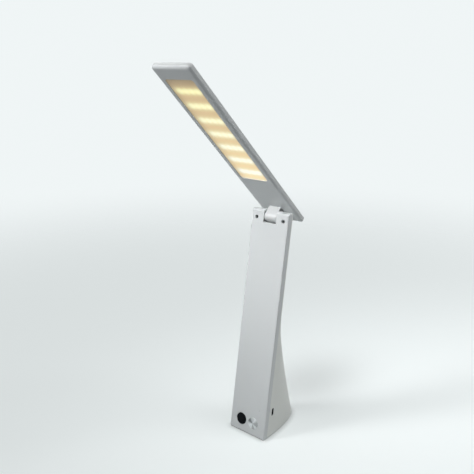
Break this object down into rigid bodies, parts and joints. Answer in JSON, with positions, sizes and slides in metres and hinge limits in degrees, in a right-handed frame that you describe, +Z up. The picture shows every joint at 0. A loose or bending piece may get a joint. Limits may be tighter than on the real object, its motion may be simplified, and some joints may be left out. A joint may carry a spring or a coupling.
{
  "type": "folding desk lamp",
  "caption": "Folding LED desk lamp: a leaning column that flares into its own foot, and a flat light head that folds down over its front on one stiff hinge. Round keys and a charging slot.",
  "frame": {"origin": "centre of the foot, on the surface that the lamp stands on", "axes": "+Z up, -Y towards the lamp's front and the light, +X to the lamp's right, the side with the charging slot"},
  "size_m": [0.05, 0.1845, 0.413],
  "materials": {
    "front_shell": "fine satin moulded plastic, light cool grey",
    "rear_shell": "fine satin moulded plastic, slightly darker grey",
    "inner_plastic": "matt moulded plastic",
    "white_plastic": "matt white reflector plastic",
    "rubber": "matt non-slip rubber",
    "steel": "plated steel",
    "screws": "dark plated steel",
    "battery": "shrink sleeve over a metal can",
    "circuit_board": "solder resist",
    "light_board": "white coated aluminium board",
    "light_chips": "phosphor filled",
    "port_metal": "formed steel shell",
    "clear_plastic": "clear light pipe",
    "lead": "flat insulated lead",
    "black_key": "polished black",
    "ring_key": "silvery satin lacquer",
    "diffuser": "warm translucent diffuser, lit"
  },
  "bodies": {
    "column": {"front_cover": "front_shell", "rear_cover": "rear_shell", "base_plate": "inner_plastic", "sole_pad": "rubber", "ballast_plate": "steel", "base_screws": "screws", "battery_cell": "battery", "battery_cradle": "inner_plastic", "main_board": "circuit_board", "board_screws": "screws", "key_switches": "inner_plastic", "charge_port": "port_metal", "indicator_lens": "clear_plastic", "column_lead": "lead", "hinge_bracket": "steel", "ear_screws": "screws"},
    "power_key": {"power_key": "black_key"},
    "mode_key": {"mode_key": "ring_key"},
    "head": {"hinge_knuckle": "front_shell", "hinge_pin": "steel", "friction_washers": "steel", "hinge_nuts": "steel", "knuckle_screws": "screws", "head_frame": "front_shell", "head_cover": "rear_shell", "diffuser": "diffuser", "reflector_tray": "white_plastic", "light_board": "light_board", "light_chips": "light_chips", "head_lead": "lead"}
  },
  "joints": [
    {"name": "head_fold", "type": "hinge", "parent": "column", "child": "head", "pos_m": [0, 0.00496, 0.24863], "axis": [1, 0, 0], "range_deg": [-54.8, 125.2]},
    {"name": "power_press", "type": "slide", "parent": "column", "child": "power_key", "axis": [0, 0.9882, -0.153], "range_m": [0, 0.0005], "stiffness_N_per_m": 600, "springref_m": -0.0004},
    {"name": "mode_press", "type": "slide", "parent": "column", "child": "mode_key", "axis": [0, 0.9882, -0.153], "range_m": [0, 0.0005], "stiffness_N_per_m": 600, "springref_m": -0.0004}
  ]
}
